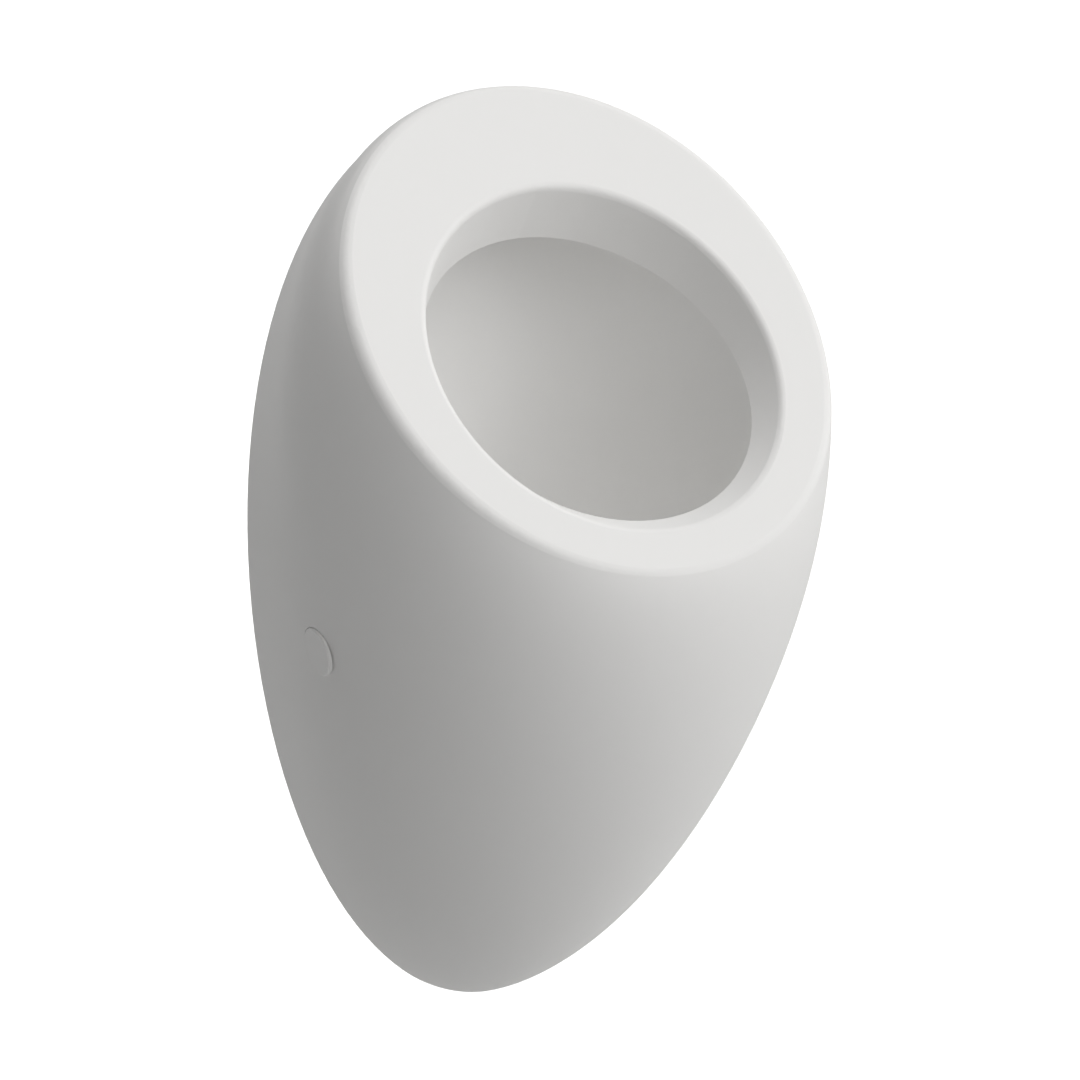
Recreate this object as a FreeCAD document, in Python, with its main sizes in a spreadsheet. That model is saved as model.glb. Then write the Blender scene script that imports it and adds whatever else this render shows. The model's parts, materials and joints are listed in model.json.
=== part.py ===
import FreeCAD, Part
import math
import os
import re

import Sketcher

# Wall hung urinal with a slanted round mouth, concealed fixings, inlet and odour trap.
# Frame: origin on the wall plane at the centre of the waste outlet, +X to the viewer's right,
# +Y into the wall, +Z up. The body lies on the -Y side of the wall plane Y = 0. Millimetres.

VEC = FreeCAD.Vector
AXIS_X, AXIS_Y, AXIS_Z = VEC(1, 0, 0), VEC(0, 1, 0), VEC(0, 0, 1)

# Driving dimensions. "height" sizes are measured up from the lowest point of the body,
# "setback" sizes are measured forwards from the wall plane. The face and the inlet are a drop
# below the top of the back, the outlet is a drop below the drain seat, and so is the trap below it.
SIZES = {
    # back outline of the body where it meets the wall: an egg that widens upwards
    "back_height": 540.0,
    "back_half_width": 114.6,
    "back_egg": 0.624,
    "back_blunt": 0.001,
    "back_shoulder": 0.098,
    "back_belly_lift": 49.6,
    "back_tip_lift": -0.7,
    # slanted front face and its outer edge
    "face_tilt": 40.0,
    "face_centre_setback": 161.6,
    "face_centre_drop": 90.7,
    "face_mean": 151.3,
    "face_rise": -3.1,
    "face_oval": 3.3,
    "face_edge_round": 8.0,
    # skin between the two outlines, as waves round the body: mean, top to bottom, oval and skew
    "lag_rise": 0.055,
    "lag_oval": -0.008,
    "leave_mean": 0.31,
    "leave_rise": -0.12,
    "leave_oval": -0.04,
    "flare_mean": 12.4,
    "flare_rise": 18.7,
    "flare_oval": 1.9,
    "flare_skew": 2.9,
    "arrive_mean": 0.209,
    "arrive_rise": -0.034,
    "arrive_oval": -0.05,
    "edge_mean": 43.6,
    "edge_rise": 5.6,
    "edge_oval": 17.9,
    "edge_skew": -3.1,
    # mouth and lip
    "mouth_radius": 109.0,
    "mouth_drop": 23.3,
    "mouth_edge_round": 4.5,
    "lip_radius": 99.0,
    "lip_depth": 23.3,
    "lip_plane_turn": 7.9,
    # fired clay
    "shell_wall": 12.0,
    "back_ledge": 16.0,
    "bowl_wall": 12.0,
    # bowl
    "leaving_inwards": 0.15,
    "leaving_level_back": 0.61,
    "leaving_level_side": 0.50,
    "leaving_level_front": 0.30,
    "leaving_rise_back": 0.79,
    "leaving_rise_side": -0.85,
    "leaving_rise_front": -0.95,
    "recess_wall_spread": 1.3,
    "recess_wall_lift": 0.85,
    "recess_reach_back": 0.38,
    "recess_reach_side": 0.30,
    "recess_reach_front": 0.12,
    "drain_reach_back": 0.50,
    "drain_reach_side": 0.28,
    "drain_reach_front": 0.40,
    "drain_fan_back": 0.02,
    "drain_fan_side": 0.75,
    "drain_fan_front": 0.80,
    "drain_setback": 80.0,
    "drain_height": 205.0,
    "drain_seat_radius": 38.5,
    "drain_hole_gap": 1.5,
    # waste fitting
    "flange_radius": 36.5,
    "flange_thick": 4.0,
    "flange_gasket_thick": 2.0,
    "waste_tube_radius": 27.5,
    "waste_tube_wall": 3.0,
    "waste_tube_length": 37.0,
    "thread_gap": 0.2,
    "slide_gap": 0.3,
    "underside_gasket_thick": 3.0,
    "backnut_thick": 10.0,
    "backnut_radius": 40.0,
    "insert_rim_thick": 1.6,
    "insert_rim_ledge": 3.8,
    "insert_wall": 2.2,
    "insert_neck_length": 30.0,
    "dip_tube_radius": 15.0,
    "dip_tube_wall": 2.0,
    "dip_tube_floor_gap": 9.2,
    "seal_ring_thick": 1.75,
    "seal_ring_drop": 20.0,
    "strainer_radius": 33.0,
    "strainer_thick": 1.5,
    "strainer_skirt": 8.0,
    "strainer_skirt_wall": 1.2,
    "strainer_hole_radius": 2.2,
    "strainer_ring_pitch": 6.6,
    # odour trap
    "trap_radius": 33.0,
    "trap_wall": 3.0,
    "trap_collar_length": 11.0,
    "trap_sump_drop": 42.2,
    "cup_base_height": 57.8,
    "cup_lap": 12.0,
    "cup_round": 14.0,
    "cup_seal_thick": 2.0,
    # waste outlet
    "outlet_drop": 67.0,
    "outlet_pipe_radius": 25.0,
    "outlet_pipe_wall": 2.5,
    "outlet_pipe_reach": 55.0,
    "pipe_collar_height": 3.0,
    "pipe_collar_thick": 3.0,
    "pipe_collar_gap": 1.0,
    "socket_depth": 12.0,
    "socket_setback": 30.0,
    "socket_wall": 3.8,
    "outlet_seal_length": 6.0,
    "union_nut_wall": 4.8,
    "union_nut_lip": 2.5,
    # flush inlet
    "inlet_drop": 53.0,
    "inlet_boss_radius": 29.0,
    "inlet_boss_setback": 14.0,
    "inlet_bore_radius": 21.0,
    "inlet_floor_setback": 34.0,
    "spreader_seat_setback": 42.0,
    "spreader_hole_radius": 9.0,
    "spreader_seat_gap": 1.5,
    "flush_pipe_radius": 16.0,
    "flush_pipe_wall": 1.5,
    "flush_pipe_reach": 50.0,
    "flush_pipe_end_gap": 1.5,
    "inlet_seal_length": 14.0,
    "inlet_seal_flange_radius": 26.0,
    "inlet_seal_flange_thick": 4.0,
    "spreader_stem_radius": 8.0,
    "spreader_bore_radius": 5.5,
    "spreader_head_radius": 11.0,
    "spreader_head_thick": 3.0,
    "spreader_neck_length": 7.0,
    "spreader_jet_radius": 2.0,
    "spreader_gasket_thick": 2.0,
    "spreader_nut_radius": 13.5,
    "spreader_nut_thick": 6.0,
    # side fixings
    "side_hole_height": 267.8,
    "side_hole_setback": 109.8,
    "side_tilt_down": 10.4,
    "side_turn_back": 1.5,
    "side_hole_radius": 11.5,
    "side_step_radius": 8.8,
    "side_step_thick": 4.0,
    "cap_recess_depth": 0.8,
    "cap_radius": 14.2,
    "cap_recess_gap": 0.5,
    "cap_plate_thick": 2.2,
    "cap_edge_round": 0.8,
    "cap_stem_wall": 1.2,
    "cap_stem_length": 4.0,
    "sleeve_wall": 1.8,
    "sleeve_floor": 2.5,
    "fit_gap": 0.2,
    "screw_radius": 4.0,
    "screw_head_radius": 6.8,
    "screw_head_thick": 3.2,
    "screw_end_length": 6.0,
    "hex_key_corner_radius": 2.9,
    "hex_key_depth": 2.2,
    "bracket_plate_gap": 9.0,
    "bracket_thick": 4.0,
    "bracket_plate_height": 36.0,
    "bracket_nose": 17.0,
    "bracket_tail": 22.0,
    "bracket_foot_edge": 102.0,
    "bracket_foot_width": 36.0,
    "bracket_foot_height": 76.0,
    "clamp_nut_radius": 6.5,
    "clamp_nut_length": 11.0,
    "clamp_nut_flange": 9.0,
    "clamp_nut_rim": 1.2,
    # wall screws
    "wall_screw_spacing_across": 170.0,
    "wall_screw_spacing_up": 56.0,
    "wall_screw_hole_radius": 4.5,
    "wall_screw_reach": 55.0,
    "wall_screw_neck_radius": 4.2,
    "wall_screw_neck_gap": 0.1,
    "wall_screw_head_radius": 7.5,
    "wall_screw_head_thick": 5.5,
    "washer_radius": 10.0,
    "washer_thick": 1.6,
}

doc = FreeCAD.newDocument("wall_hung_urinal")
sheet = doc.addObject("Spreadsheet::Sheet", "Sizes")
for row, (alias, value) in enumerate(SIZES.items(), start=1):
    sheet.set(f"A{row}", alias)
    sheet.set(f"B{row}", str(value))
    sheet.setAlias(f"B{row}", alias)
doc.recompute()

SKIN_POINTS = 32
RECESS_SHARPNESS = 3
FLAT_WITHIN = 0.02
ROUND_WITHIN = 0.5
PARTS = []


def size(name):
    """Read one driving dimension from the sheet."""
    return float(sheet.get(name))


def bind(words):
    """Turn a formula of dimension names into an expression on the sheet."""
    return re.sub(r"[a-z][a-z_]*", lambda word: "Sizes." + word.group(0), words)


def work_out(words):
    """Value of the same formula, for places."""
    total = 0.0
    for sign, name, number in re.findall(r"([+-]?)\s*(?:([a-z][a-z_]*)|([0-9.]+))", words):
        amount = size(name) if name else float(number)
        total += -amount if sign == "-" else amount
    return total


def up(height):
    """Frame Z of a height above the lowest point of the body."""
    return height - size("drain_height") + size("outlet_drop")


def keep(piece, label):
    """Name a sub-part and put it on the list of pieces to be written."""
    piece.Label = label
    PARTS.append(piece)
    return piece


def place(piece, base, direction=AXIS_Z):
    """Seat a piece whose own axis is Z at a point, with that axis along a direction."""
    piece.Placement = FreeCAD.Placement(base, FreeCAD.Rotation(AXIS_Z, direction))
    return piece


# ---------------------------------------------------------------- turned and simple pieces

def origin_plane(body, role):
    """One of the standard planes of a body."""
    return next(item for item in body.Origin.OriginFeatures if item.Role == role)


def turned(name, outline):
    """Solid of revolution about its own Z axis.

    outline is a closed polygon of (radius, height) formulas of dimension names.
    """
    body = doc.addObject("PartDesign::Body", name)
    sketch = body.newObject("Sketcher::SketchObject", name + "_profile")
    sketch.AttachmentSupport = [(origin_plane(body, "XZ_Plane"), "")]
    sketch.MapMode = "FlatFace"
    corners = [VEC(work_out(radius), work_out(height), 0) for radius, height in outline]
    for start, end in zip(corners, corners[1:] + corners[:1]):
        sketch.addGeometry(Part.LineSegment(start, end), False)
    count = len(corners)
    for index in range(count):
        sketch.addConstraint(Sketcher.Constraint("Coincident", index, 2, (index + 1) % count, 1))
    for index, (corner, formulas) in enumerate(zip(corners, outline)):
        for kind, value, formula in zip(("DistanceX", "DistanceY"), corner, formulas):
            number = sketch.addConstraint(Sketcher.Constraint(kind, -1, 1, index, 1, value))
            if re.search("[a-z]", formula):
                sketch.setExpression(f"Constraints[{number}]", bind(formula))
    turn = body.newObject("PartDesign::Revolution", name + "_turn")
    turn.Profile = sketch
    turn.ReferenceAxis = (sketch, ["V_Axis"])
    turn.Angle = 360
    doc.recompute()
    return body


def ring(name, inner, outer, length):
    """Plain ring or tube from its own Z = 0 upwards."""
    return turned(name, [(inner, "0"), (outer, "0"), (outer, length), (inner, length)])


def collared_pipe(name, inner, outer, wall_plane, reach):
    """Pipe that crosses the wall plane, with a stop collar just before it."""
    collar_end = wall_plane + " - pipe_collar_gap"
    collar_start = collar_end + " - pipe_collar_thick"
    collar = outer + " + pipe_collar_height"
    return turned(name, [
        (inner, "0"), (outer, "0"), (outer, collar_start), (collar, collar_start),
        (collar, collar_end), (outer, collar_end), (outer, wall_plane + " + " + reach),
        (inner, wall_plane + " + " + reach)])


def cylinder(name, radius, length, base=VEC(0, 0, 0), direction=AXIS_Z):
    """Cylinder from a point along a direction; radius and length are formulas."""
    solid = doc.addObject("Part::Cylinder", name)
    solid.setExpression("Radius", bind(radius))
    solid.setExpression("Height", bind(length))
    return place(solid, base, direction)


def hexagon(name, corner_radius, length, base=VEC(0, 0, 0), direction=AXIS_Z):
    """Six-sided prism from a point along a direction, for nuts and key sockets."""
    solid = doc.addObject("Part::Prism", name)
    solid.Polygon = 6
    solid.setExpression("Circumradius", bind(corner_radius))
    solid.setExpression("Height", bind(length))
    return place(solid, base, direction)


def cut(name, base, tools):
    """One piece with one or more others taken away."""
    tool = tools[0]
    if len(tools) > 1:
        tool = doc.addObject("Part::MultiFuse", name + "_tools")
        tool.Shapes = tools
    result = doc.addObject("Part::Cut", name)
    result.Base = base
    result.Tool = tool
    return result


def fuse(name, solids):
    """Several solids joined into one piece."""
    result = doc.addObject("Part::MultiFuse", name)
    result.Shapes = solids
    return result


# ---------------------------------------------------------------- fired body

def tilt_frame(tilt):
    """Upward direction in a plane that leans back by tilt degrees, and the plane's outward normal."""
    angle = math.radians(tilt)
    return VEC(0, math.sin(angle), math.cos(angle)), VEC(0, -math.cos(angle), math.sin(angle))


def face_centre():
    """Centre of the slanted front face."""
    return VEC(0, -size("face_centre_setback"), up(size("back_height") - size("face_centre_drop")))


def between(top, side, bottom, angle):
    """Smooth value round the bowl that takes three values at its top, sides and bottom."""
    mean = (top + 2 * side + bottom) / 4
    return mean + (top - bottom) / 2 * math.cos(angle) + (top - 2 * side + bottom) / 4 * math.cos(2 * angle)


def wave(name, angle):
    """Value round the body from the dimensions name_mean, name_rise, name_oval and name_skew."""
    total = 0.0
    for order, term in enumerate(("mean", "rise", "oval", "skew")):
        if f"{name}_{term}" in SIZES:
            total += size(f"{name}_{term}") * math.cos(order * angle)
    return total


def back_point(angle):
    """Point of the back outline on the wall plane, and its outward normal."""
    def at(turn):
        lift = math.cos(turn)
        share = 1 + size("back_egg") * lift + size("back_blunt") * lift ** 2
        share += size("back_shoulder") * lift ** 3
        half = size("back_half_width") * math.sin(turn) * share
        height = size("back_height") / 2 * (1 + lift)
        height += size("back_belly_lift") * (math.cos(2 * turn) - 1)
        height += size("back_tip_lift") * (math.cos(3 * turn) - lift)
        return VEC(half, 0, up(height))
    step = 0.001
    along = at(angle + step) - at(angle - step)
    outward = VEC(-along.z, 0, along.x)
    return at(angle), outward.normalize()


def closed_curve(points):
    """Smooth closed curve through evenly numbered points."""
    curve = Part.BSplineCurve()
    numbers = [index / len(points) for index in range(len(points) + 1)]
    curve.interpolate(Points=points, PeriodicFlag=True, Parameters=numbers)
    return curve


def skin_solid(rows):
    """Closed solid: one skin for every four rows of control points in turn, with flat ends.

    Neighbouring skins share a row, so there are 4, 7, 10 ... rows.
    """
    curves = [closed_curve(row) for row in rows]
    faces = [Part.Face(Part.Wire([curve.toShape()])) for curve in (curves[0], curves[-1])]
    for first in range(0, len(rows) - 1, 3):
        band = curves[first:first + 4]
        poles = [[curve.getPole(index + 1) for curve in band] for index in range(band[0].NbPoles)]
        surface = Part.BSplineSurface()
        surface.buildFromPolesMultsKnots(poles, band[0].getMultiplicities(), (4, 4),
                                         band[0].getKnots(), (0.0, 1.0), True, False, 3, 3)
        faces.append(surface.toShape())
    shell = Part.makeCompound(faces)
    shell.sewShape()
    solid = Part.makeSolid(Part.Shell(shell.Faces))
    if solid.Volume < 0:
        solid.reverse()
    return solid


def egg_solid(edge_round=0.0, inset=0.0, back_inset=0.0):
    """Outer form of the body, or the same form drawn in by a wall thickness.

    With an edge_round, a second skin rounds the edge where the first one meets the front face.
    """
    upward, normal = tilt_frame(size("face_tilt"))
    centre = face_centre()
    middle = size("back_height") / 2
    rows = [[] for _ in range(7 if edge_round else 4)]
    for index in range(SKIN_POINTS):
        angle = 2 * math.pi * index / SKIN_POINTS
        radial = AXIS_X * math.sin(angle) + upward * math.cos(angle)
        corner = centre + radial * wave("face", angle)
        lag = size("lag_rise") * math.sin(angle) + size("lag_oval") * math.sin(2 * angle)
        start, outward = back_point(angle - lag)
        gap = (corner - start).Length
        flare = math.radians(wave("flare", angle))
        leaving = outward * math.sin(flare) - AXIS_Y * math.cos(flare)
        edge = math.radians(wave("edge", angle))
        arriving = normal * math.cos(edge) - radial * math.sin(edge)
        drawn_in = VEC(start.x / size("back_half_width"), 0, start.z / middle - up(middle) / middle)
        foot = start - drawn_in * back_inset
        shoulder = start + leaving * (wave("leave", angle) * gap)
        shoulder -= (drawn_in * math.cos(flare) + AXIS_Y * math.sin(flare)) * inset
        corner = corner - radial * (inset * (1 - math.sin(edge)) / math.cos(edge)) - normal * inset
        turn = math.pi / 2 - edge
        cut_back = edge_round * math.tan(turn / 2)
        pull = cut_back - edge_round * 4 / 3 * math.tan(turn / 4)
        points = (foot, shoulder, corner - arriving * (wave("arrive", angle) * gap),
                  corner - arriving * cut_back, corner - arriving * pull,
                  corner - radial * pull, corner - radial * cut_back)
        for row, point in zip(rows, points):
            row.append(point)
    return skin_solid(rows)


def lip_frame():
    """Mouth centre and upward direction in the face, then the lip's centre, upward direction and normal."""
    upward, normal = tilt_frame(size("face_tilt"))
    face = face_centre()
    mouth = face - upward * size("mouth_drop")
    lip_up, lip_normal = tilt_frame(size("face_tilt") + size("lip_plane_turn"))
    return mouth, upward, mouth - normal * size("lip_depth"), lip_up, lip_normal


def inlet_level():
    """Frame Z of the flush inlet."""
    return up(size("back_height") - size("inlet_drop"))


def bowl_share(name, angle):
    """Value round the bowl from the dimensions name_back, name_side and name_front."""
    return between(size(name + "_back"), size(name + "_side"), size(name + "_front"), angle)


def bowl_solid(thicken=0.0):
    """Throat and bowl in one: from the mouth past the lip and down to the flat drain seat.

    At its sides and front the bowl runs on from the throat with little more than a soft crease.
    At its top it turns up behind the lip, which leaves room for the spreader.
    """
    mouth, flat_up, lip, lip_up, lip_normal = lip_frame()
    drain = VEC(0, -size("drain_setback"), up(size("drain_height")) - thicken)
    rows = [[] for _ in range(7)]
    for index in range(SKIN_POINTS):
        angle = 2 * math.pi * index / SKIN_POINTS
        hidden = ((1 + math.cos(angle)) / 2) ** RECESS_SHARPNESS
        flat = AXIS_X * math.sin(angle) + flat_up * math.cos(angle)
        radial = AXIS_X * math.sin(angle) + lip_up * math.cos(angle)
        level = AXIS_X * math.sin(angle) + AXIS_Y * math.cos(angle)
        edge = mouth + flat * size("mouth_radius")
        start = lip + radial * size("lip_radius")
        leaving = VEC(-size("leaving_inwards") * math.sin(angle), bowl_share("leaving_level", angle),
                      bowl_share("leaving_rise", angle))
        edge += flat * thicken
        start += radial * (thicken * (1 + (size("recess_wall_spread") - 1) * hidden))
        start += lip_normal * (thicken * size("recess_wall_lift") * hidden)
        end = drain + level * (size("drain_seat_radius") + thicken)
        depth = (end - start).Length
        fan = AXIS_Z + level * bowl_share("drain_fan", angle)
        points = (edge, edge + (start - edge) / 3, edge + (start - edge) * 2 / 3, start,
                  start + leaving * (depth * bowl_share("recess_reach", angle)),
                  end + fan * (depth * bowl_share("drain_reach", angle)), end)
        for row, point in zip(rows, points):
            row.append(point)
    return skin_solid(rows)


def edges_on(shape, point, normal, radius):
    """Round edges of a shape that lie in a plane at about a radius from a point."""
    found = []
    for edge in shape.Edges:
        spots = edge.discretize(9)
        flat = all(abs((spot - point).dot(normal)) < FLAT_WITHIN for spot in spots)
        if flat and all(abs((spot - point).Length - radius) < ROUND_WITHIN for spot in spots):
            found.append(edge)
    return found


def side_axis(side, outer):
    """Point on the body's surface and outward direction of a side hole."""
    down = math.radians(size("side_tilt_down"))
    back = math.radians(size("side_turn_back"))
    outward = VEC(side * math.cos(down) * math.cos(back), math.cos(down) * math.sin(back), -math.sin(down))
    start = VEC(0, -size("side_hole_setback"), up(size("side_hole_height")))
    reach = side * 2 * size("back_height")
    line = Part.makeLine(start, start + AXIS_X * reach)
    hits = [vertex.Point for vertex in line.common(outer).Vertexes]
    return max(hits, key=lambda spot: side * spot.x), outward


def ceramic_body():
    """Outer shell with an open back, rim, lip, bowl, drain seat, inlet boss and side holes."""
    outer = egg_solid(edge_round=size("face_edge_round"))
    hollow = egg_solid(inset=size("shell_wall"), back_inset=size("back_ledge"))

    wall = size("bowl_wall")
    boss_length = size("inlet_floor_setback") + wall - size("inlet_boss_setback")
    inlet = VEC(0, -size("inlet_boss_setback"), inlet_level())
    boss = Part.makeCylinder(size("inlet_boss_radius"), boss_length, inlet, -AXIS_Y)
    inside = bowl_solid(wall).fuse(boss).common(outer)
    body = outer.cut(hollow).fuse(inside).cut(bowl_solid())

    drain = VEC(0, -size("drain_setback"), up(size("drain_height")) + wall)
    drain_hole = Part.makeCylinder(size("waste_tube_radius") + size("drain_hole_gap"),
                                   3 * wall, drain, -AXIS_Z)
    bore = Part.makeCylinder(size("inlet_bore_radius"),
                             size("inlet_floor_setback"), VEC(0, 0, inlet.z), -AXIS_Y)
    stem_hole = Part.makeCylinder(size("spreader_hole_radius"),
                                  size("spreader_seat_setback") + wall, VEC(0, 0, inlet.z), -AXIS_Y)
    seat = VEC(0, -size("spreader_seat_setback"), inlet.z)
    spreader_room = size("spreader_gasket_thick") + 2 * size("spreader_head_thick")
    spreader_room += size("spreader_neck_length")
    spot_face = Part.makeCylinder(size("spreader_head_radius") + size("spreader_seat_gap"),
                                  spreader_room + size("spreader_seat_gap"), seat, -AXIS_Y)
    body = body.cut([drain_hole, bore, stem_hole, spot_face])

    for side in (-1, 1):
        spot, outward = side_axis(side, outer)
        recess_floor = spot - outward * size("cap_recess_depth")
        step = spot - outward * (size("shell_wall") - size("side_step_thick"))
        body = body.cut([
            Part.makeCylinder(size("cap_radius") + size("cap_recess_gap"), wall, recess_floor, outward),
            Part.makeCylinder(size("side_hole_radius"), 2 * wall, step, outward),
            Part.makeCylinder(size("side_step_radius"), 4 * wall, spot - outward * (2 * wall), outward)])

    body = body.removeSplitter()
    mouth, flat_up = lip_frame()[:2]
    mouth_edges = edges_on(body, mouth, flat_up.cross(AXIS_X), size("mouth_radius"))
    body = body.makeFillet(size("mouth_edge_round"), mouth_edges)
    piece = doc.addObject("Part::Feature", "ceramic_body")
    piece.Shape = body
    keep(piece, "ceramic_body")
    return outer


# ---------------------------------------------------------------- waste fitting and trap

def waste_fitting():
    """Flanged waste, its gaskets and back nut, the lift-out insert and the strainer."""
    seat = VEC(0, -size("drain_setback"), up(size("drain_height")))
    gasket = ring("flange_gasket", "waste_tube_radius + fit_gap", "flange_radius", "flange_gasket_thick")
    keep(place(gasket, seat), "flange_gasket")

    tube_bore = "waste_tube_radius - waste_tube_wall"
    neck = tube_bore + " - slide_gap - seal_ring_thick - seal_ring_thick"
    neck_bore = neck + " - insert_wall"
    rim = tube_bore + " + insert_rim_ledge"
    top = "flange_gasket_thick + flange_thick"
    pocket = "flange_gasket_thick + flange_thick - insert_rim_thick"
    pocket_radius = rim + " + slide_gap"
    flange = turned("waste_flange", [
        (tube_bore, "-waste_tube_length"), ("waste_tube_radius", "-waste_tube_length"),
        ("waste_tube_radius", "flange_gasket_thick"), ("flange_radius", "flange_gasket_thick"),
        ("flange_radius", "flange_gasket_thick + flange_thick - insert_rim_thick"),
        ("flange_radius - insert_rim_thick", top), (pocket_radius, top), (pocket_radius, pocket),
        (tube_bore, pocket)])
    keep(place(flange, seat), "waste_flange")

    floor = seat - AXIS_Z * size("bowl_wall")
    under = ring("underside_gasket", "waste_tube_radius + fit_gap", "flange_radius", "underside_gasket_thick")
    keep(place(under, floor - AXIS_Z * size("underside_gasket_thick")), "underside_gasket")

    nut_base = floor - AXIS_Z * (size("underside_gasket_thick") + size("backnut_thick"))
    nut = cut("waste_backnut",
              hexagon("backnut_block", "backnut_radius", "backnut_thick", nut_base),
              [cylinder("backnut_bore", "waste_tube_radius + thread_gap", "backnut_thick", nut_base)])
    keep(nut, "waste_backnut")

    dip_end = "cup_base_height + dip_tube_floor_gap - drain_height"
    insert = turned("trap_insert", [
        (neck_bore, top), (rim, top), (rim, pocket), (neck, pocket), (neck, "-insert_neck_length"),
        ("dip_tube_radius", "-insert_neck_length - dip_tube_radius + dip_tube_wall"),
        ("dip_tube_radius", dip_end), ("dip_tube_radius - dip_tube_wall", dip_end),
        ("dip_tube_radius - dip_tube_wall", "-insert_neck_length - dip_tube_radius + dip_tube_wall"),
        (neck_bore, "-insert_neck_length")])
    keep(place(insert, seat), "trap_insert")

    seal = doc.addObject("Part::Torus", "insert_seal")
    seal.setExpression("Radius1", bind(neck + " + seal_ring_thick"))
    seal.setExpression("Radius2", bind("seal_ring_thick"))
    keep(place(seal, seat - AXIS_Z * size("seal_ring_drop")), "insert_seal")

    plate = "flange_gasket_thick + flange_thick + slide_gap"
    skirt_outer = neck_bore + " - slide_gap"
    skirt_inner = skirt_outer + " - strainer_skirt_wall"
    skirt_end = plate + " - strainer_skirt"
    grid = turned("strainer_plate", [
        ("0", plate), (skirt_inner, plate), (skirt_inner, skirt_end), (skirt_outer, skirt_end),
        (skirt_outer, plate), ("strainer_radius", plate),
        ("strainer_radius - strainer_thick", plate + " + strainer_thick"),
        ("0", plate + " + strainer_thick")])
    place(grid, seat)
    holes = []
    for ring_number in range(3):
        count = max(1, 6 * ring_number)
        for index in range(count):
            angle = 2 * math.pi * index / count
            offset = VEC(math.cos(angle), math.sin(angle), 0) * (ring_number * size("strainer_ring_pitch"))
            holes.append(cylinder(f"strainer_hole_{ring_number}_{index}", "strainer_hole_radius",
                                  "flange_gasket_thick + flange_thick + strainer_skirt", seat + offset))
    keep(cut("strainer", grid, holes), "strainer")


def odour_trap():
    """Trap body with its outlet socket, and the cup screwed on from below."""
    axis = VEC(0, -size("drain_setback"), 0)
    inside = "outlet_drop + trap_sump_drop - waste_tube_length - fit_gap"
    length = inside + " + trap_collar_length"
    base = axis - AXIS_Z * size("trap_sump_drop")
    socket_start = VEC(0, -size("drain_setback"), 0)
    shell = fuse("trap_block", [
        cylinder("trap_outside", "trap_radius", length, base),
        cylinder("trap_socket", "outlet_pipe_radius + socket_wall", "drain_setback - socket_setback",
                 socket_start, AXIS_Y)])
    body = cut("trap_body", shell, [
        cylinder("trap_inside", "trap_radius - trap_wall", inside, base),
        cylinder("trap_thread", "waste_tube_radius + thread_gap", length, base),
        cylinder("trap_waterway", "outlet_pipe_radius - outlet_pipe_wall", "drain_setback",
                 socket_start, AXIS_Y),
        cylinder("trap_socket_bore", "outlet_pipe_radius + fit_gap", "socket_depth",
                 VEC(0, -size("socket_setback") - size("socket_depth"), 0), AXIS_Y)])
    keep(body, "trap_body")

    inner = "trap_radius + thread_gap"
    outer = "trap_radius + thread_gap + trap_wall"
    shelf = "drain_height - outlet_drop - trap_sump_drop - cup_base_height - cup_seal_thick"
    edge = shelf + " + cup_seal_thick + cup_lap"
    cup = turned("trap_cup", [
        ("0", "0"), ("trap_radius - cup_round", "0"), (outer, "cup_round"),
        (outer, edge), (inner, edge), (inner, shelf), ("trap_radius - trap_wall", shelf),
        ("trap_radius - trap_wall", "cup_round + trap_wall"),
        ("trap_radius - trap_wall - cup_round + trap_wall", "trap_wall"), ("0", "trap_wall")])
    keep(place(cup, axis + AXIS_Z * up(size("cup_base_height"))), "trap_cup")
    seal = ring("cup_seal", "trap_radius - trap_wall + fit_gap", "trap_radius", "cup_seal_thick")
    keep(place(seal, base - AXIS_Z * size("cup_seal_thick")), "cup_seal")


def waste_outlet():
    """Waste pipe into the wall, its wedge seal and the union nut."""
    mouth = VEC(0, -size("socket_setback"), 0)
    end = VEC(0, -size("socket_setback") - size("socket_depth") + size("fit_gap"), 0)
    pipe = collared_pipe("outlet_pipe", "outlet_pipe_radius - outlet_pipe_wall", "outlet_pipe_radius",
                         "socket_setback + socket_depth - fit_gap", "outlet_pipe_reach")
    keep(place(pipe, end, AXIS_Y), "outlet_pipe")
    seal = turned("outlet_seal", [
        ("outlet_pipe_radius", "0"), ("outlet_pipe_radius + socket_wall", "0"),
        ("outlet_pipe_radius + socket_wall", "outlet_seal_length - socket_wall"),
        ("outlet_pipe_radius + socket_wall - union_nut_lip", "outlet_seal_length"),
        ("outlet_pipe_radius", "outlet_seal_length")])
    keep(place(seal, mouth, AXIS_Y), "outlet_seal")
    nut_inner = "outlet_pipe_radius + socket_wall + thread_gap"
    nut_outer = "outlet_pipe_radius + socket_wall + union_nut_wall"
    nut = turned("outlet_union_nut", [
        (nut_inner, "-socket_depth"), (nut_outer, "-socket_depth"),
        (nut_outer, "outlet_seal_length"),
        (nut_outer + " - union_nut_lip", "outlet_seal_length + union_nut_lip"),
        ("outlet_pipe_radius + thread_gap", "outlet_seal_length + union_nut_lip"),
        ("outlet_pipe_radius + thread_gap", "outlet_seal_length"),
        (nut_inner, "outlet_seal_length")])
    keep(place(nut, mouth, AXIS_Y), "outlet_union_nut")


# ---------------------------------------------------------------- flush inlet

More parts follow.
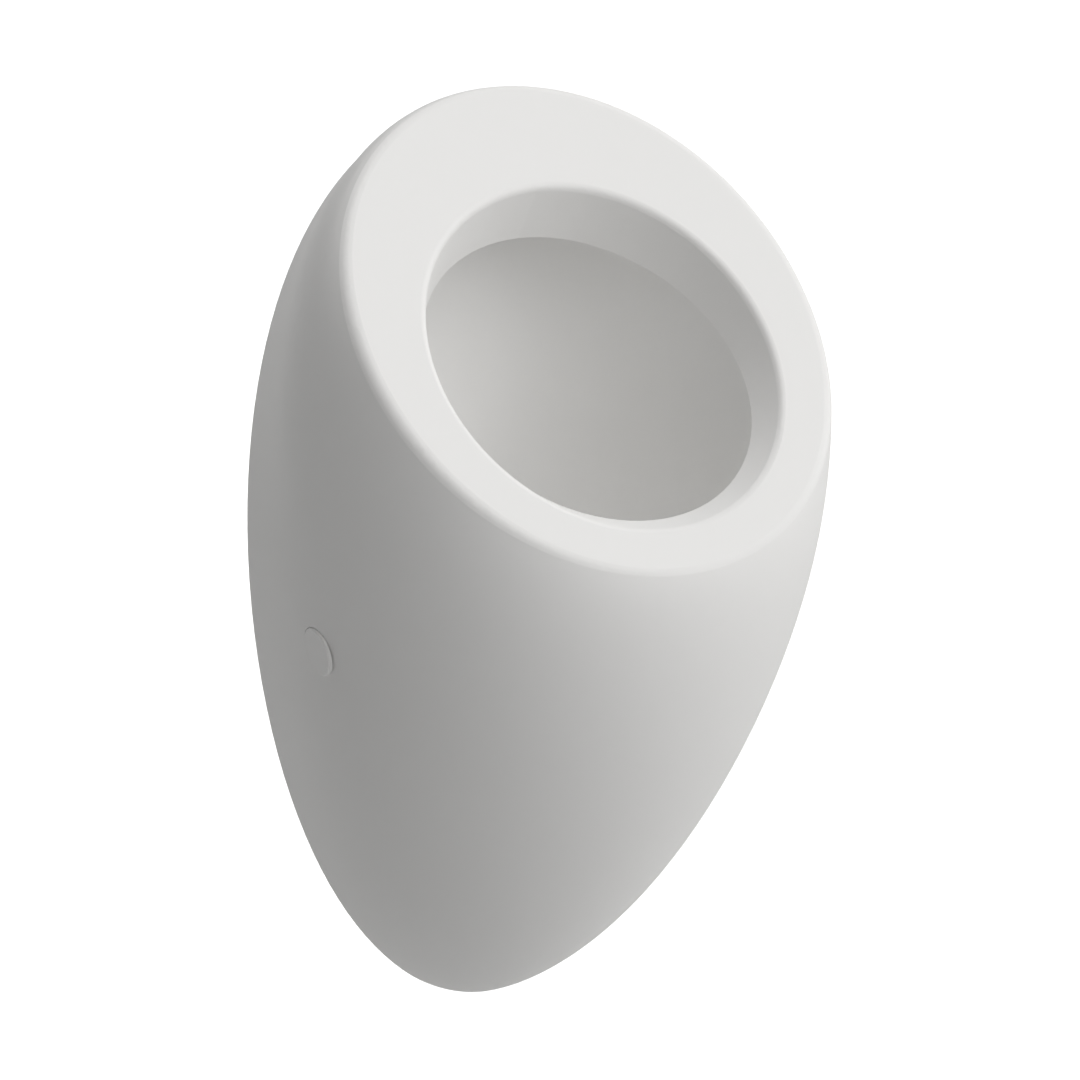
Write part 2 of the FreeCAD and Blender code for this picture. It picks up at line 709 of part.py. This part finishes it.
def flush_inlet():
    """Flush pipe and its rubber sleeve, and the spreader clamped through the bowl wall."""
    axis_height = inlet_level()
    boss_end = VEC(0, -size("inlet_boss_setback"), axis_height)
    seal = turned("inlet_seal", [
        ("flush_pipe_radius", "-inlet_seal_length"), ("inlet_bore_radius", "-inlet_seal_length"),
        ("inlet_bore_radius", "0"), ("inlet_seal_flange_radius", "0"),
        ("inlet_seal_flange_radius", "inlet_seal_flange_thick"),
        ("flush_pipe_radius", "inlet_seal_flange_thick")])
    keep(place(seal, boss_end, AXIS_Y), "inlet_seal")

    pipe_start = boss_end - AXIS_Y * (size("inlet_seal_length") - size("flush_pipe_end_gap"))
    pipe = collared_pipe("flush_pipe", "flush_pipe_radius - flush_pipe_wall", "flush_pipe_radius",
                         "inlet_boss_setback + inlet_seal_length - flush_pipe_end_gap", "flush_pipe_reach")
    keep(place(pipe, pipe_start, AXIS_Y), "flush_pipe")

    seat = VEC(0, -size("spreader_seat_setback"), axis_height)
    gasket = ring("spreader_gasket", "spreader_stem_radius + fit_gap", "spreader_head_radius",
                  "spreader_gasket_thick")
    keep(place(gasket, seat, -AXIS_Y), "spreader_gasket")

    nut_base = VEC(0, -size("inlet_floor_setback"), axis_height)
    nut = cut("spreader_nut",
              hexagon("spreader_nut_block", "spreader_nut_radius", "spreader_nut_thick", nut_base, AXIS_Y),
              [cylinder("spreader_nut_bore", "spreader_stem_radius + fit_gap", "spreader_nut_thick",
                        nut_base, AXIS_Y)])
    keep(nut, "spreader_nut")

    stem_end = "-spreader_seat_setback + inlet_floor_setback - spreader_nut_thick - fit_gap"
    collar = "spreader_gasket_thick"
    neck = "spreader_gasket_thick + spreader_head_thick"
    deflector = "spreader_gasket_thick + spreader_head_thick + spreader_neck_length"
    tip = deflector + " + spreader_head_thick"
    blank = turned("spreader_blank", [
        ("spreader_bore_radius", stem_end), ("spreader_stem_radius", stem_end),
        ("spreader_stem_radius", collar), ("spreader_head_radius", collar),
        ("spreader_head_radius", neck), ("spreader_stem_radius", neck),
        ("spreader_stem_radius", deflector), ("spreader_head_radius", deflector),
        ("spreader_head_radius - spreader_head_thick", tip), ("0", tip), ("0", deflector),
        ("spreader_bore_radius", deflector)])
    place(blank, seat, -AXIS_Y)
    jets = []
    jet_row = size("spreader_gasket_thick") + size("spreader_head_thick") + size("spreader_neck_length") / 2
    for index in range(4):
        angle = math.pi * (index + 0.5) / 4
        across = VEC(math.cos(angle), 0, math.sin(angle))
        start = seat - AXIS_Y * jet_row - across * size("spreader_head_radius")
        jets.append(cylinder(f"spreader_jet_{index}", "spreader_jet_radius",
                             "spreader_head_radius + spreader_head_radius", start, across))
    keep(cut("spreader", blank, jets), "spreader")


# ---------------------------------------------------------------- side fixings

def side_fixing(name, side, outer):
    """Cap, sleeve, clamp screw, rivet nut and wall bracket of one side."""
    spot, outward = side_axis(side, outer)
    cap_floor = "-cap_recess_depth"
    step = "-shell_wall + side_step_thick"
    stem_outer = "side_hole_radius - fit_gap - sleeve_wall - fit_gap"
    cap = turned(f"{name}_side_cap", [
        ("0", cap_floor), (stem_outer + " - cap_stem_wall", cap_floor),
        (stem_outer + " - cap_stem_wall", cap_floor + " - cap_stem_length"),
        (stem_outer, cap_floor + " - cap_stem_length"), (stem_outer, cap_floor), ("cap_radius", cap_floor),
        ("cap_radius", cap_floor + " + cap_plate_thick - cap_edge_round"),
        ("cap_radius - cap_edge_round", cap_floor + " + cap_plate_thick"),
        ("0", cap_floor + " + cap_plate_thick")])
    keep(place(cap, spot, outward), f"{name}_side_cap")

    sleeve_outer = "side_hole_radius - fit_gap"
    sleeve = turned(f"{name}_screw_sleeve", [
        ("screw_radius + fit_gap", step), (sleeve_outer, step), (sleeve_outer, cap_floor + " - fit_gap"),
        (sleeve_outer + " - sleeve_wall", cap_floor + " - fit_gap"),
        (sleeve_outer + " - sleeve_wall", step + " + sleeve_floor"),
        ("screw_radius + fit_gap", step + " + sleeve_floor")])
    keep(place(sleeve, spot, outward), f"{name}_screw_sleeve")

    head = step + " + sleeve_floor"
    screw_end = "-shell_wall - bracket_plate_gap - bracket_thick - clamp_nut_length - screw_end_length"
    blank = turned(f"{name}_screw_blank", [
        ("0", screw_end), ("screw_radius - hex_key_depth", screw_end),
        ("screw_radius", screw_end + " + hex_key_depth"), ("screw_radius", head),
        ("screw_head_radius", head), ("screw_head_radius", head + " + screw_head_thick"),
        ("0", head + " + screw_head_thick")])
    place(blank, spot, outward)
    head_top = spot - outward * (size("shell_wall") - size("side_step_thick") - size("sleeve_floor")
                                 - size("screw_head_thick"))
    socket = hexagon(f"{name}_key_socket", "hex_key_corner_radius", "hex_key_depth", head_top, -outward)
    keep(cut(f"{name}_clamp_screw", blank, [socket]), f"{name}_clamp_screw")

    plate_face = spot - outward * (size("shell_wall") + size("bracket_plate_gap"))
    plate_back = plate_face - outward * size("bracket_thick")
    nut = turned(f"{name}_clamp_nut", [
        ("screw_radius + fit_gap", "0"), ("clamp_nut_flange", "0"),
        ("clamp_nut_flange", "clamp_nut_rim"), ("clamp_nut_radius", "clamp_nut_rim"),
        ("clamp_nut_radius", "clamp_nut_length"), ("screw_radius + fit_gap", "clamp_nut_length")])
    keep(place(nut, plate_back, -outward), f"{name}_clamp_nut")
    wall_bracket(name, side, plate_face, outward)


def slab(name, start, along, across, length):
    """Bracket plate: a box with its length and width along two directions, lying behind start."""
    thick_way = along.cross(across)
    box = doc.addObject("Part::Box", name)
    box.setExpression("Length", bind(length))
    box.setExpression("Width", bind("bracket_plate_height"))
    box.setExpression("Height", bind("bracket_thick"))
    box.Placement = FreeCAD.Placement(start, FreeCAD.Rotation(along, across, thick_way, "XYZ"))
    return box


def wall_bracket(name, side, plate_face, outward):
    """Steel plate square to the side hole, cranked back to a foot that is screwed to the wall."""
    thick = size("bracket_thick")
    middle = up(size("side_hole_height"))
    back = (AXIS_Y - outward * AXIS_Y.dot(outward)).normalize()
    rise = outward.cross(back)
    inner_face = plate_face - outward * thick
    corner = inner_face - back * size("bracket_nose") - rise * (size("bracket_plate_height") / 2)
    plate = slab(f"{name}_bracket_plate", corner, back, rise, "bracket_nose + bracket_tail")

    bend = inner_face + back * (size("bracket_tail") - thick)
    wall_end = VEC(side * (size("bracket_foot_edge") - thick), 0, bend.z)
    link_way = (wall_end - bend).normalize()
    link_rise = (rise - link_way * rise.dot(link_way)).normalize()
    arm = slab(f"{name}_bracket_arm", bend - link_rise * (size("bracket_plate_height") / 2),
               link_way, link_rise, "side_hole_setback")

    foot = doc.addObject("Part::Box", f"{name}_bracket_foot")
    foot.setExpression("Length", bind("bracket_foot_width"))
    foot.setExpression("Width", bind("bracket_thick"))
    foot.setExpression("Height", bind("bracket_foot_height"))
    foot_start = size("bracket_foot_edge") - size("bracket_foot_width")
    if side < 0:
        foot_start = -size("bracket_foot_edge")
    foot.Placement.Base = VEC(foot_start, -thick, middle - size("bracket_foot_height") / 2)

    tools = [cylinder(f"{name}_nut_hole", "screw_radius + fit_gap", "bracket_thick", plate_face, -outward)]
    for level in (-1, 1):
        hole = VEC(side * size("wall_screw_spacing_across") / 2, 0,
                   middle + level * size("wall_screw_spacing_up") / 2)
        tools.append(cylinder(f"{name}_foot_hole_{level + 1}", "wall_screw_hole_radius", "bracket_thick",
                              hole, -AXIS_Y))
    wall = doc.addObject("Part::Box", f"{name}_wall_trim")
    wall.setExpression("Length", bind("back_height"))
    wall.setExpression("Width", bind("back_height"))
    wall.setExpression("Height", bind("back_height"))
    wall.Placement.Base = VEC(-size("back_height") / 2, 0, middle - size("back_height") / 2)
    tools.append(wall)
    bracket = cut(f"{name}_wall_bracket", fuse(f"{name}_bracket_plates", [plate, arm, foot]), tools)
    keep(bracket, f"{name}_wall_bracket")


def wall_fasteners():
    """Four wood screws with washers: each kind is one node of separate solids."""
    spots = [VEC(x * size("wall_screw_spacing_across") / 2, -size("bracket_thick"),
                 up(size("side_hole_height")) + z * size("wall_screw_spacing_up") / 2)
             for x in (-1, 1) for z in (-1, 1)]
    screws, washers = [], []
    for number, spot in enumerate(spots):
        washer = ring(f"washer_{number}", "wall_screw_neck_radius + fit_gap", "washer_radius", "washer_thick")
        washers.append(place(washer, spot, -AXIS_Y))
        head_seat = spot - AXIS_Y * size("washer_thick")
        neck = "washer_thick + bracket_thick - wall_screw_neck_gap"
        reach = "washer_thick + bracket_thick + wall_screw_reach"
        shank = turned(f"wall_shank_{number}", [
            ("0", "0"), ("wall_screw_neck_radius", "0"), ("wall_screw_neck_radius", neck),
            ("screw_radius", neck), ("screw_radius", reach + " - screw_end_length"), ("0", reach)])
        place(shank, head_seat, AXIS_Y)
        head = hexagon(f"wall_head_{number}", "wall_screw_head_radius", "wall_screw_head_thick",
                       head_seat, -AXIS_Y)
        screws.append(fuse(f"wall_screw_{number}", [shank, head]))
    for name, group in (("wall_screws", screws), ("wall_screw_washers", washers)):
        compound = doc.addObject("Part::Compound", name)
        compound.Links = group
        keep(compound, name)


# ---------------------------------------------------------------- build, check and write

outer_form = ceramic_body()
waste_fitting()
odour_trap()
waste_outlet()
flush_inlet()
side_fixing("left", -1, outer_form)
side_fixing("right", 1, outer_form)
wall_fasteners()
doc.recompute()

for item in doc.Objects:
    if "Invalid" in item.State or "Error" in item.State:
        raise RuntimeError(f"{item.Name} failed: {item.State}")
os.makedirs("parts", exist_ok=True)
for piece in PARTS:
    if piece.Shape.isNull() or not piece.Shape.isValid():
        raise RuntimeError(f"{piece.Label} has no valid shape")
    piece.Shape.exportStep(f"parts/{piece.Label}.step")
side_spot, side_way = side_axis(1, outer_form)
print("right side hole at", [round(value, 3) for value in side_spot])
print("its axis", [round(value, 5) for value in side_way])
print(len(PARTS), "sub-parts")
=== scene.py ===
import json

import bmesh
import bpy
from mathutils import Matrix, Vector

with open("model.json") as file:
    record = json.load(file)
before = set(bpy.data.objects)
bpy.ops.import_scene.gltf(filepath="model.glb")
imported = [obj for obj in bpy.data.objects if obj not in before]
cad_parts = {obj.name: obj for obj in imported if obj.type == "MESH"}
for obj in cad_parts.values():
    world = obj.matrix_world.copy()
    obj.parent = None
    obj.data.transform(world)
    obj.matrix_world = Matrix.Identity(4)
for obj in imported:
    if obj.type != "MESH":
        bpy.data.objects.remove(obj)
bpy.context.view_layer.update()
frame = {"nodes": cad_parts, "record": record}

# Wall hung urinal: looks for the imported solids. Metres; +X right, +Y into the wall, +Z up.

WHITE = (1.0, 1.0, 1.0, 1.0)

# Camera, found by fitting the outline, the rim and the mouth in the photograph.
# CAMERA_WAY points from the aim to the camera.
CAMERA_AIM = Vector((0.00569, -0.09971, 0.16956))
CAMERA_WAY = Vector((-0.52798, -0.80896, 0.25848))
CAMERA_DISTANCE = 2.160
CAMERA_LENS = 124.44
SENSOR_WIDTH = 36.0
CLIP_NEAR = 0.05
CLIP_FAR = 100.0

# Floor under the body. Its tone is darker for light that bounces off it onto the body,
# and a glow that only the camera sees brings it up to white.
FLOOR_HEIGHT = -0.45
FLOOR_SIZE = 60.0
FLOOR_TONE = (0.80, 0.80, 0.79, 1.0)
FLOOR_BOUNCE_TONE = (0.50, 0.50, 0.50, 1.0)
FLOOR_ROUGHNESS = 0.9
FLOOR_GLOW = 0.62

# Soft room. Its brightness in a direction (x, y, z) is a level, plus a slope along x, y and z,
# plus shares of the squares xx, yy and zz, plus shares of the products xy, yz and zx.
ROOM_LEVEL = 1.14
ROOM_SLOPE = (1.90, -1.14, -0.50)
ROOM_SQUARES = (-1.75, -1.11, 0.0)
ROOM_PRODUCTS = (-1.52, 2.98, -1.03)
ROOM_TONE = (1.0, 0.998, 0.993, 1.0)
# Soft box above the slanted mouth, which lights the bowl
SOFT_BOX_WAY = (0.05, -0.61, 0.79)
SOFT_BOX_STRENGTH = 2.0
SOFT_BOX_TIGHTNESS = 8.0
# Fill from behind, where the room is dark
BACK_FILL = (0.25, 0.60, 0.10)

# Bare biscuit on the face against the wall: where it starts and is full, by distance from the wall
BISCUIT_START = -0.0012
BISCUIT_FULL = -0.0002
BISCUIT_TONE = (0.66, 0.62, 0.55, 1.0)
BISCUIT_ROUGHNESS = 0.9


# ---------------------------------------------------------------- node helpers

COLOR = "NodeSocketColor"
FLOAT = "NodeSocketFloat"
VECTOR = "NodeSocketVector"

# The sockets of a Mix node share their names, so its operands and its result are reached by place.
MIX_PLACES = {"RGBA": (6, 7, 2), "FLOAT": (2, 3, 0)}


def feed(tree, socket, source):
    """Link an output to a socket, or set a constant on the socket itself."""
    if isinstance(source, bpy.types.NodeSocket):
        tree.links.new(source, socket)
    else:
        socket.default_value = source


def feed_all(tree, node, **inputs):
    """Feed a node's inputs by name, with an underscore for each space."""
    for name, source in inputs.items():
        feed(tree, node.inputs[name.replace("_", " ")], source)


def add(tree, kind, settings=None, **inputs):
    """Add one node, set its properties and feed its inputs."""
    node = tree.nodes.new(kind)
    for name, value in (settings or {}).items():
        setattr(node, name, value)
    feed_all(tree, node, **inputs)
    return node


def mix(tree, data_type, factor, first, second):
    """Blend of two outputs or constants, as an output."""
    node = add(tree, "ShaderNodeMix", {"data_type": data_type}, Factor=factor)
    first_place, second_place, result_place = MIX_PLACES[data_type]
    feed(tree, node.inputs[first_place], first)
    feed(tree, node.inputs[second_place], second)
    return node.outputs[result_place]


def clamped(tree, value, low, high, to_low, to_high):
    """Value carried from one span to another and held inside it, as an output."""
    node = add(tree, "ShaderNodeMapRange", {"clamp": True}, Value=value, From_Min=low, From_Max=high,
               To_Min=to_low, To_Max=to_high)
    return node.outputs["Result"]


def operate(tree, kind, operation, first, second):
    """Outputs of a Math or Vector Math node on two outputs or constants."""
    node = add(tree, kind, {"operation": operation})
    feed(tree, node.inputs[0], first)
    feed(tree, node.inputs[1], second)
    return node.outputs


def number(tree, operation, first, second):
    """One step of arithmetic, as an output."""
    return operate(tree, "ShaderNodeMath", operation, first, second)["Value"]


def along(tree, vector, weights):
    """Dot product of a vector with fixed weights, as an output."""
    return operate(tree, "ShaderNodeVectorMath", "DOT_PRODUCT", vector, weights)["Value"]


def product(tree, first, second):
    """Two vectors multiplied component by component, as an output."""
    return operate(tree, "ShaderNodeVectorMath", "MULTIPLY", first, second)["Vector"]


def new_group(name, inputs, outputs):
    """Shader node group with named sockets; returns its tree, what it is given and its end node."""
    tree = bpy.data.node_groups.new(name, "ShaderNodeTree")
    for label, kind, value in inputs:
        socket = tree.interface.new_socket(label, in_out="INPUT", socket_type=kind)
        socket.default_value = value
    for label, kind in outputs:
        tree.interface.new_socket(label, in_out="OUTPUT", socket_type=kind)
    return tree, tree.nodes.new("NodeGroupInput").outputs, tree.nodes.new("NodeGroupOutput")


def new_material(name):
    """Material with nodes; returns it and its Principled shader."""
    material = bpy.data.materials.new(name)
    material.use_nodes = True
    nodes = material.node_tree.nodes
    shader = next(node for node in nodes if node.type == "BSDF_PRINCIPLED")
    return material, shader


# ---------------------------------------------------------------- shared effects

def build_mottle():
    """Slow drift between two tones and two roughnesses, and a fine grain for the bump."""
    tree, given, end = new_group(
        "surface_mottle",
        [("Tone", COLOR, (0.8, 0.8, 0.8, 1)),
         ("Second Tone", COLOR, (0.7, 0.7, 0.7, 1)),
         ("Drift Scale", FLOAT, 9.0),
         ("Grain Scale", FLOAT, 400.0),
         ("Roughness Low", FLOAT, 0.3),
         ("Roughness High", FLOAT, 0.5)],
        [("Color", COLOR), ("Roughness", FLOAT), ("Height", FLOAT)])
    place = add(tree, "ShaderNodeTexCoord").outputs["Object"]
    drift = add(tree, "ShaderNodeTexNoise", Vector=place, Scale=given["Drift Scale"],
                Detail=3.0, Roughness=0.55).outputs["Fac"]
    grain = add(tree, "ShaderNodeTexNoise", Vector=place, Scale=given["Grain Scale"],
                Detail=4.0, Roughness=0.6).outputs["Fac"]
    feed_all(tree, end,
             Color=mix(tree, "RGBA", drift, given["Tone"], given["Second Tone"]),
             Roughness=clamped(tree, drift, 0.35, 0.65, given["Roughness Low"], given["Roughness High"]),
             Height=grain)
    return tree


def build_streaks():
    """Fine lines that lie closest together along the direction with the largest Stretch."""
    tree, given, end = new_group(
        "drawn_streaks",
        [("Stretch", VECTOR, (1.0, 1.0, 30.0)), ("Scale", FLOAT, 60.0)],
        [("Mask", FLOAT)])
    place = add(tree, "ShaderNodeTexCoord").outputs["Object"]
    stretched = add(tree, "ShaderNodeMapping", Vector=place, Scale=given["Stretch"]).outputs["Vector"]
    lines = add(tree, "ShaderNodeTexNoise", Vector=stretched, Scale=given["Scale"],
                Detail=5.0, Roughness=0.7).outputs["Fac"]
    feed_all(tree, end, Mask=lines)
    return tree


MOTTLE = build_mottle()
STREAKS = build_streaks()


# ---------------------------------------------------------------- finishes

def start_finish(name, tone, second_tone, drift, grain=400.0, roughness=(0.3, 0.5)):
    """New material with a mottle; returns it, its shader and the mottle's outputs.

    drift and grain are noise scales, and roughness is the lowest and the highest value.
    """
    material, shader = new_material(name)
    mottle = add(material.node_tree, "ShaderNodeGroup", {"node_tree": MOTTLE},
                 Tone=(*tone, 1), Second_Tone=(*second_tone, 1), Drift_Scale=drift, Grain_Scale=grain,
                 Roughness_Low=roughness[0], Roughness_High=roughness[1])
    return material, shader, mottle.outputs


def close_finish(material, shader, color, roughness, height, bump, **inputs):
    """Feed the shader; bump is a strength and the height of a full step."""
    tree = material.node_tree
    strength, distance = bump
    raised = add(tree, "ShaderNodeBump", Height=height, Strength=strength, Distance=distance)
    feed_all(tree, shader, Base_Color=color, Roughness=roughness, Normal=raised.outputs["Normal"], **inputs)
    return material


def plain_finish(name, bump, metallic=0.0, **look):
    """Finish that shows its mottle and nothing else."""
    material, shader, mottle = start_finish(name, **look)
    return close_finish(material, shader, mottle["Color"], mottle["Roughness"], mottle["Height"], bump,
                        Metallic=metallic)


def satin_glaze():
    """Warm white satin glaze, with the bare biscuit showing on the face against the wall."""
    material, shader, mottle = start_finish(
        "satin_white_glaze", tone=(0.925, 0.92, 0.91), second_tone=(0.912, 0.907, 0.896),
        drift=7.0, grain=900.0, roughness=(0.42, 0.50))
    tree = material.node_tree
    place = add(tree, "ShaderNodeTexCoord").outputs["Object"]
    depth = add(tree, "ShaderNodeSeparateXYZ", Vector=place).outputs["Y"]
    bare = clamped(tree, depth, BISCUIT_START, BISCUIT_FULL, 0.0, 1.0)
    color = mix(tree, "RGBA", bare, mottle["Color"], BISCUIT_TONE)
    roughness = mix(tree, "FLOAT", bare, mottle["Roughness"], BISCUIT_ROUGHNESS)
    return close_finish(material, shader, color, roughness, mottle["Height"], bump=(0.04, 0.0003),
                        Specular_IOR_Level=0.35)


def cap_plastic():
    """White moulded plastic of the side caps, a little glossier than the glaze."""
    return plain_finish(
        "cap_white_plastic", tone=(0.90, 0.895, 0.885), second_tone=(0.885, 0.88, 0.87),
        drift=30.0, grain=1500.0, roughness=(0.34, 0.42), bump=(0.05, 0.0002))


def inner_plastic():
    """White moulded plastic of the screw sleeves and the trap insert."""
    return plain_finish(
        "inner_white_plastic", tone=(0.78, 0.77, 0.74), second_tone=(0.73, 0.72, 0.69),
        drift=30.0, grain=1800.0, roughness=(0.45, 0.6), bump=(0.10, 0.0003))


def pipe_plastic():
    """Grey plastic of the odour trap and the waste pipe."""
    return plain_finish(
        "pipe_grey_plastic", tone=(0.33, 0.34, 0.35), second_tone=(0.28, 0.29, 0.30),
        drift=18.0, grain=1400.0, roughness=(0.38, 0.55), bump=(0.12, 0.0003))


def black_rubber():
    """Dull black rubber of the seals and the gaskets."""
    return plain_finish(
        "black_rubber", tone=(0.022, 0.022, 0.023), second_tone=(0.036, 0.036, 0.036),
        drift=40.0, grain=2200.0, roughness=(0.6, 0.8), bump=(0.25, 0.0003))


def polished_chrome():
    """Polished chrome of the flush pipe, the spreader and the waste flange."""
    return plain_finish(
        "polished_chrome", tone=(0.80, 0.80, 0.81), second_tone=(0.76, 0.77, 0.79),
        drift=30.0, grain=900.0, roughness=(0.06, 0.13), bump=(0.02, 0.0002), metallic=1.0)


def brushed_stainless():
    """Stainless steel of the wall brackets and the strainer, brushed with level lines."""
    material, shader, mottle = start_finish(
        "brushed_stainless", tone=(0.62, 0.62, 0.61), second_tone=(0.56, 0.56, 0.56), drift=25.0)
    tree = material.node_tree
    lines = add(tree, "ShaderNodeGroup", {"node_tree": STREAKS}).outputs["Mask"]
    roughness = clamped(tree, lines, 0.3, 0.7, 0.26, 0.42)
    return close_finish(material, shader, mottle["Color"], roughness, lines, bump=(0.12, 0.0002),
                        Metallic=1.0)


def zinc_plating():
    """Zinc plated steel of the screws, the washers and the rivet nuts."""
    return plain_finish(
        "zinc_plated_steel", tone=(0.60, 0.62, 0.65), second_tone=(0.68, 0.66, 0.60),
        drift=90.0, grain=1600.0, roughness=(0.24, 0.44), bump=(0.10, 0.0002), metallic=1.0)


FINISHES = {
    "glazed_ceramic": satin_glaze(),
    "cap_plastic": cap_plastic(),
    "white_plastic": inner_plastic(),
    "grey_plastic": pipe_plastic(),
    "black_rubber": black_rubber(),
    "chromed_brass": polished_chrome(),
    "stainless_steel": brushed_stainless(),
    "zinc_steel": zinc_plating(),
}

for part in frame["record"]["subparts"]:
    mesh = frame["nodes"][part["node"]].data
    for index in range(len(mesh.materials)):
        mesh.materials[index] = FINISHES[part["material_slot"]]


# ---------------------------------------------------------------- floor, light and camera

def floor_finish():
    """Pale floor with its darker bounce and its glow for the camera."""
    material, shader = new_material("floor_white")
    tree = material.node_tree
    ray = add(tree, "ShaderNodeLightPath").outputs
    feed_all(tree, shader,
             Base_Color=mix(tree, "RGBA", ray["Is Diffuse Ray"], FLOOR_TONE, FLOOR_BOUNCE_TONE),
             Roughness=FLOOR_ROUGHNESS,
             Emission_Color=WHITE,
             Emission_Strength=number(tree, "MULTIPLY", ray["Is Camera Ray"], FLOOR_GLOW))
    return material


def add_floor():
    """Large plain floor that keeps the soft shadow."""
    plane = bmesh.new()
    bmesh.ops.create_grid(plane, x_segments=1, y_segments=1, size=FLOOR_SIZE / 2)
    bmesh.ops.translate(plane, verts=plane.verts, vec=(0, 0, FLOOR_HEIGHT))
    mesh = bpy.data.meshes.new("studio_floor")
    plane.to_mesh(mesh)
    plane.free()
    mesh.materials.append(floor_finish())
    floor = bpy.data.objects.new("studio_floor", mesh)
    bpy.context.collection.objects.link(floor)


def room_brightness(tree):
    """Brightness of the room in each direction, as an output."""
    toward = add(tree, "ShaderNodeTexCoord").outputs["Generated"]
    axes = add(tree, "ShaderNodeSeparateXYZ", Vector=toward).outputs
    turned = add(tree, "ShaderNodeCombineXYZ", X=axes["Y"], Y=axes["Z"], Z=axes["X"]).outputs["Vector"]
    room = number(tree, "ADD", along(tree, toward, ROOM_SLOPE), ROOM_LEVEL)
    room = number(tree, "ADD", room, along(tree, product(tree, toward, toward), ROOM_SQUARES))
    room = number(tree, "ADD", room, along(tree, product(tree, toward, turned), ROOM_PRODUCTS))
    room = number(tree, "MAXIMUM", room, 0.0)
    facing = number(tree, "MAXIMUM", along(tree, toward, SOFT_BOX_WAY), 0.0)
    tight = number(tree, "POWER", facing, SOFT_BOX_TIGHTNESS)
    room = number(tree, "ADD", room, number(tree, "MULTIPLY", tight, SOFT_BOX_STRENGTH))
    return number(tree, "MAXIMUM", room, along(tree, toward, BACK_FILL))


def add_room_light():
    """World light: a soft room, brightest to the right and in front, that the camera sees as white."""
    world = bpy.data.worlds.new("soft_room")
    world.use_nodes = True
    bpy.context.scene.world = world
    tree = world.node_tree
    tree.nodes.clear()
    ray = add(tree, "ShaderNodeLightPath").outputs
    light = add(tree, "ShaderNodeBackground", Color=ROOM_TONE, Strength=room_brightness(tree))
    white = add(tree, "ShaderNodeBackground", Color=WHITE, Strength=1.0)
    choose = add(tree, "ShaderNodeMixShader", Fac=ray["Is Camera Ray"])
    feed(tree, choose.inputs[1], light.outputs["Background"])
    feed(tree, choose.inputs[2], white.outputs["Background"])
    add(tree, "ShaderNodeOutputWorld", Surface=choose.outputs["Shader"])


def add_camera():
    """Camera at the photograph's viewing angle."""
    camera = bpy.data.objects.new("photo_camera", bpy.data.cameras.new("photo_camera"))
    bpy.context.collection.objects.link(camera)
    camera.data.sensor_width = SENSOR_WIDTH
    camera.data.lens = CAMERA_LENS
    camera.data.clip_start = CLIP_NEAR
    camera.data.clip_end = CLIP_FAR
    way = CAMERA_WAY.normalized()
    camera.location = CAMERA_AIM + way * CAMERA_DISTANCE
    camera.rotation_euler = (-way).to_track_quat("-Z", "Y").to_euler()
    bpy.context.scene.camera = camera


add_floor()
add_room_light()
add_camera()
bpy.context.scene.view_settings.view_transform = "Standard"
